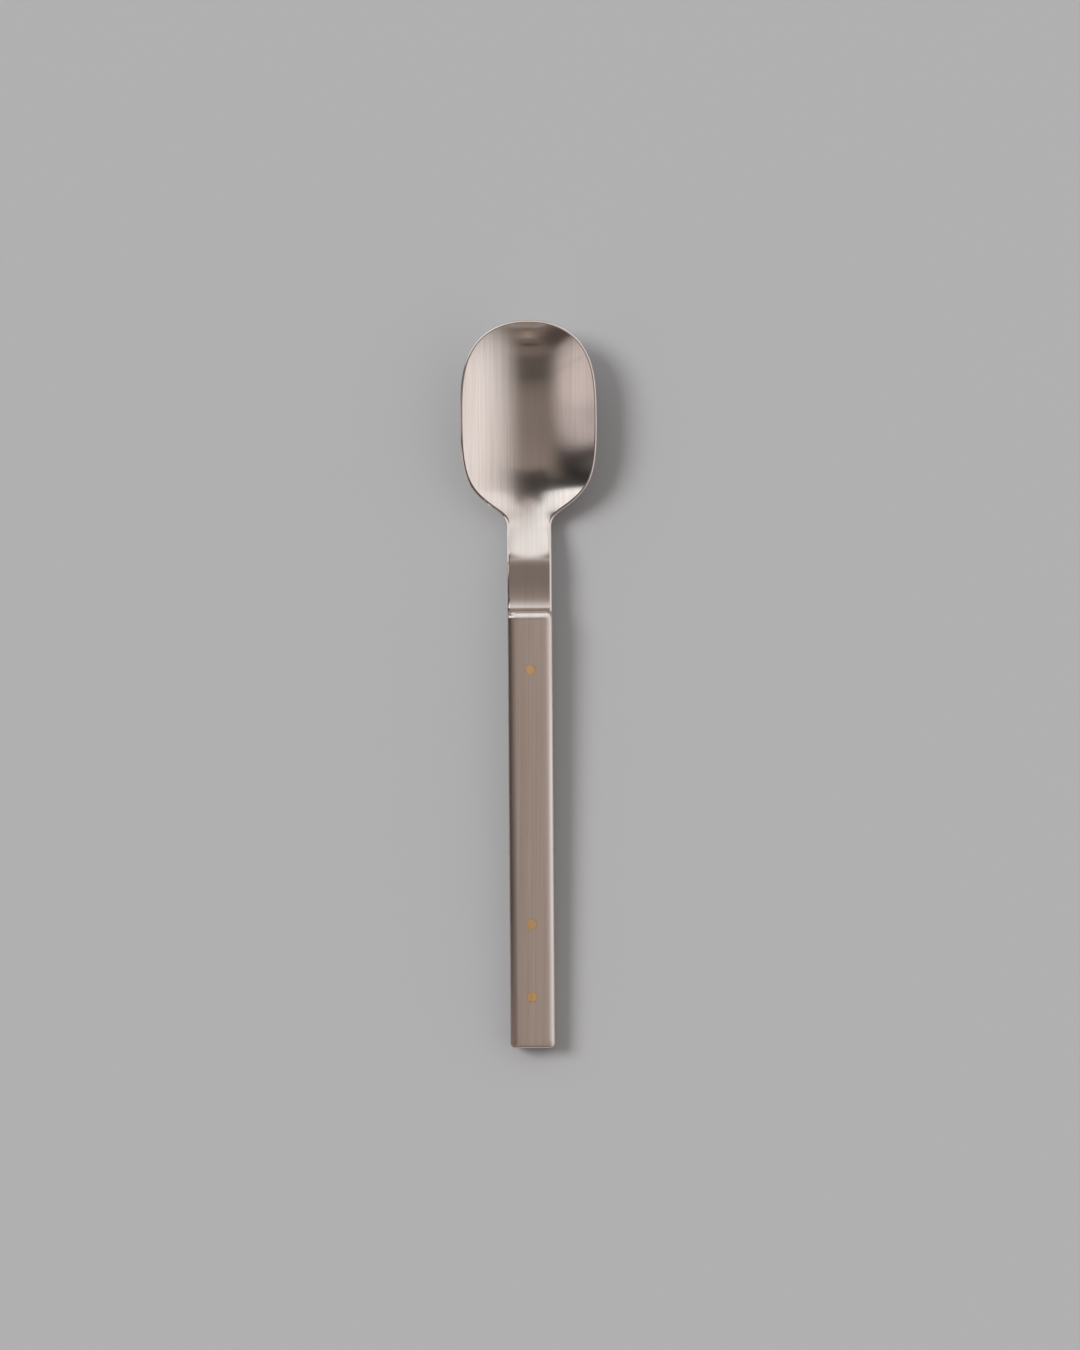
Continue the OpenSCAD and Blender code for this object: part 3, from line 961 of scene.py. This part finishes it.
    def room(self, scene, stage):
        """A soft room: a warm ceiling, a pale wall on each side and a bright one beyond the tip."""
        world = bpy.data.worlds.new("soft_room")
        world.use_nodes = True
        tree = world.node_tree
        tree.nodes.clear()
        way = add_node(tree, "ShaderNodeTexCoord")
        parts = add_node(tree, "ShaderNodeSeparateXYZ", links={"Vector": way.outputs["Generated"]})
        to_tip = add_node(
            tree,
            "ShaderNodeMapRange",
            {"From Min": -1.0, "From Max": 1.0},
            {"Value": parts.outputs["Y"]},
        )
        along = {"Fac": to_tip.outputs["Result"]}
        ceiling = add_node(tree, "ShaderNodeValToRGB", {"stops": tones(self.CEILING)}, along)
        left_wall = add_node(tree, "ShaderNodeValToRGB", {"stops": tones(self.LEFT_WALL)}, along)
        # Towards the tip the left wall, with its dark doorway, reaches further in under the ceiling
        near_tip = add_node(tree, "ShaderNodeValToRGB", {"stops": shares(self.NEAR_TIP)}, along)
        reach = add_node(
            tree,
            "ShaderNodeMath",
            {"operation": "MULTIPLY_ADD", 1: -self.TIP_REACH},
            {0: near_tip.outputs["Color"], 2: parts.outputs["X"]},
        )
        to_left = add_node(
            tree,
            "ShaderNodeMapRange",
            {
                "interpolation_type": "SMOOTHSTEP",
                "From Min": self.LEFT_REACH[0],
                "From Max": self.LEFT_REACH[1],
            },
            {"Value": reach.outputs["Value"]},
        )
        to_right = add_node(
            tree,
            "ShaderNodeMapRange",
            {"From Min": self.RIGHT_REACH[0], "From Max": self.RIGHT_REACH[1]},
            {"Value": parts.outputs["X"]},
        )
        with_left = add_node(
            tree,
            "ShaderNodeMix",
            {"data_type": "RGBA"},
            {0: to_left.outputs["Result"], 6: ceiling.outputs["Color"], 7: left_wall.outputs["Color"]},
        )
        with_right = add_node(
            tree,
            "ShaderNodeMix",
            {"data_type": "RGBA", 7: (*linear(self.RIGHT_WALL), 1.0)},
            {0: to_right.outputs["Result"], 6: with_left.outputs[2]},
        )
        light = add_node(
            tree, "ShaderNodeBackground", {"Strength": stage.room_strength}, {"Color": with_right.outputs[2]}
        )
        add_node(tree, "ShaderNodeOutputWorld", links={"Surface": light.outputs["Background"]})
        scene.world = world

    def window(self, scene, stage):
        light = bpy.data.lights.new("window", "SUN")
        light.color = stage.key_colour
        light.energy = stage.key_strength
        light.angle = self.WINDOW_SPREAD
        window = bpy.data.objects.new("window", light)
        towards = Vector((
            -math.cos(self.WINDOW_HEIGHT) * math.cos(self.WINDOW_TURN),
            math.cos(self.WINDOW_HEIGHT) * math.sin(self.WINDOW_TURN),
            math.sin(self.WINDOW_HEIGHT),
        ))
        window.location = towards
        window.rotation_euler = towards.to_track_quat("Z", "Y").to_euler()
        # The metal mirrors the room, and not this lamp
        window.visible_glossy = False
        scene.collection.objects.link(window)

    def camera(self, scene, stage):
        lens = bpy.data.cameras.new("camera")
        lens.sensor_width = self.SENSOR
        lens.lens = self.SENSOR * stage.camera_height / stage.view_height
        camera = bpy.data.objects.new("camera", lens)
        camera.location = Vector(self.AIM) + Vector((0, 0, stage.camera_height))
        camera.rotation_euler = (0, 0, self.CAMERA_TURN)
        scene.collection.objects.link(camera)
        scene.camera = camera

    def execute(self, context):
        scene = context.scene
        stage = scene.spoon_stage
        self.floor(stage)
        self.cards()
        self.room(scene, stage)
        self.window(scene, stage)
        self.camera(scene, stage)
        scene.view_settings.view_transform = "Standard"
        return {"FINISHED"}


class SPOON_PT_panel(bpy.types.Panel):
    """Lists the pieces of the spoon with their sizes and colours"""

    bl_idname = "SPOON_PT_panel"
    bl_label = "Sugar spoon"
    bl_space_type = "VIEW_3D"
    bl_region_type = "UI"
    bl_category = "Sugar spoon"

    def draw(self, context):
        scene = context.scene
        for operator in OPERATORS:
            self.layout.operator(operator.bl_idname)
        for group in (scene.spoon_sizes, scene.spoon_finish, scene.spoon_stage):
            box = self.layout.box()
            for name in group.bl_rna.properties.keys():
                if name not in ("rna_type", "name"):
                    box.prop(group, name)


GROUPS = {"spoon_sizes": SpoonSizes, "spoon_finish": SpoonFinish, "spoon_stage": SpoonStage}
OPERATORS = (SPOON_OT_blank, SPOON_OT_scales, SPOON_OT_pins, SPOON_OT_stage)
CLASSES = (*GROUPS.values(), *OPERATORS, SPOON_PT_panel)


def register():
    for kind in CLASSES:
        bpy.utils.register_class(kind)
    for name, group in GROUPS.items():
        setattr(bpy.types.Scene, name, bpy.props.PointerProperty(type=group))


def unregister():
    for name in GROUPS:
        delattr(bpy.types.Scene, name)
    for kind in reversed(CLASSES):
        bpy.utils.unregister_class(kind)


def main():
    register()
    bpy.ops.spoon.blank()
    bpy.ops.spoon.scales()
    bpy.ops.spoon.pins()
    bpy.ops.spoon.stage()


if __name__ == "__main__":
    main()
